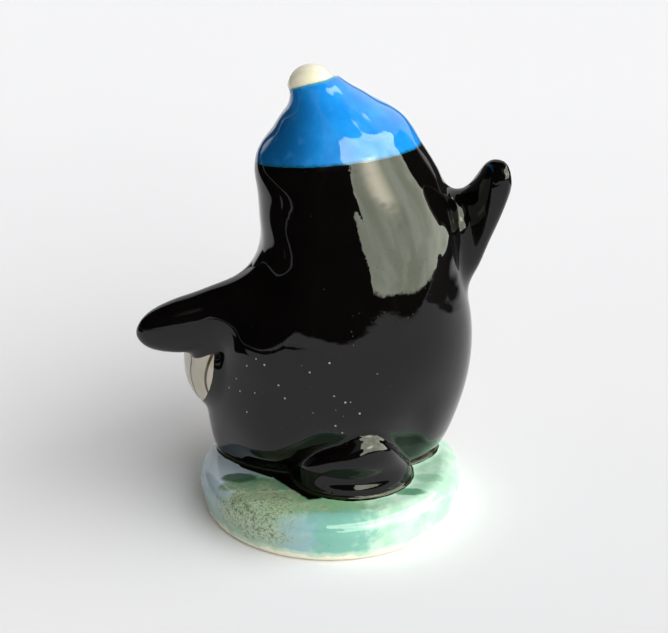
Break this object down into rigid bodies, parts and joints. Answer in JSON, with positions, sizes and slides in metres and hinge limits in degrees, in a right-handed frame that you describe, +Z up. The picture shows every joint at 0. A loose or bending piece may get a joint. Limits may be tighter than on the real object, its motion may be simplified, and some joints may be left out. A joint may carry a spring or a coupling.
{
  "type": "penguin figurine",
  "caption": "Small glazed earthenware penguin in a pointed bobble hat, flippers out, standing on a thick round base as a shelf ornament.",
  "frame": {"origin": "centre of the base's underside, where the figurine rests", "axes": "+Z up; the penguin faces -Y and its left flipper points along +X"},
  "size_m": [0.0394, 0.0316, 0.048],
  "materials": {
    "black_glaze": "gloss",
    "hat_glaze": "gloss",
    "cream_glaze": "gloss",
    "orange_glaze": "gloss",
    "base_glaze": "gloss"
  },
  "bodies": {
    "root": {"base": "base_glaze", "body": "black_glaze", "hat": "hat_glaze", "bobble": "cream_glaze", "belly": "cream_glaze", "face": "cream_glaze", "left_eye": "black_glaze", "right_eye": "black_glaze", "beak": "orange_glaze", "left_flipper": "black_glaze", "right_flipper": "black_glaze", "tail": "black_glaze", "left_foot": "orange_glaze", "right_foot": "orange_glaze"}
  },
  "joints": []
}
